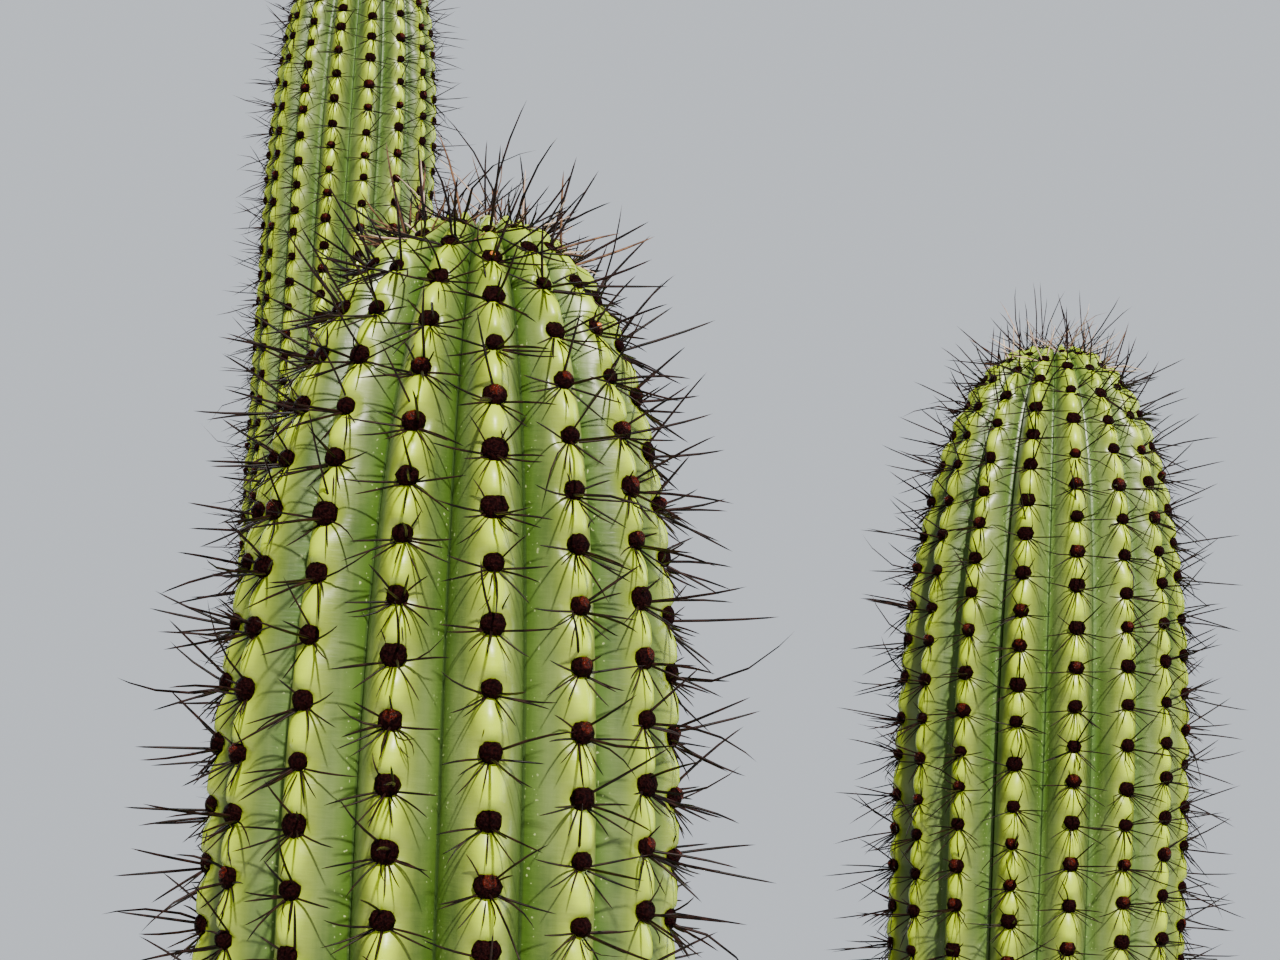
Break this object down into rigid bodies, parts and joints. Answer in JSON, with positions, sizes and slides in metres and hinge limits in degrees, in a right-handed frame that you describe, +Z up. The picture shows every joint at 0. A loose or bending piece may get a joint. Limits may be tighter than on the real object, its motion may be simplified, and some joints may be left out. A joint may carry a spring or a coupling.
{
  "type": "organ pipe cactus",
  "caption": "Clump of upright ribbed cactus arms that bend up from one short woody trunk, set with felt pads and dark spines along the ribs.",
  "frame": {"origin": "middle of the trunk's flat cut at ground level", "axes": "+Z up; -Y towards the front, the side from which the front arm is nearest; +X to the right of someone who looks at it from there"},
  "size_m": [1.4311, 1.3392, 2.223],
  "materials": {
    "bark": "dry corky grey-brown bark",
    "skin": "waxy green skin, satin, yellow-green on the rib crests and duller in the grooves",
    "pads": "dark brown felt",
    "spines": "near-black brown, hard and slightly glossy"
  },
  "bodies": {
    "root": {"trunk": "bark", "front_arm_foot": "skin", "front_arm_column": "skin", "inner_right_arm_foot": "skin", "inner_right_arm_column": "skin", "tall_arm_foot": "skin", "tall_arm_column": "skin", "centre_arm_foot": "skin", "centre_arm_column": "skin", "inner_left_arm_foot": "skin", "inner_left_arm_column": "skin", "right_front_arm_foot": "skin", "right_front_arm_column": "skin", "right_arm_foot": "skin", "right_arm_column": "skin", "right_back_arm_foot": "skin", "right_back_arm_column": "skin", "back_arm_foot": "skin", "back_arm_column": "skin", "left_back_arm_foot": "skin", "left_back_arm_column": "skin", "left_arm_foot": "skin", "left_arm_column": "skin", "left_front_arm_foot": "skin", "left_front_arm_column": "skin"}
  },
  "joints": []
}
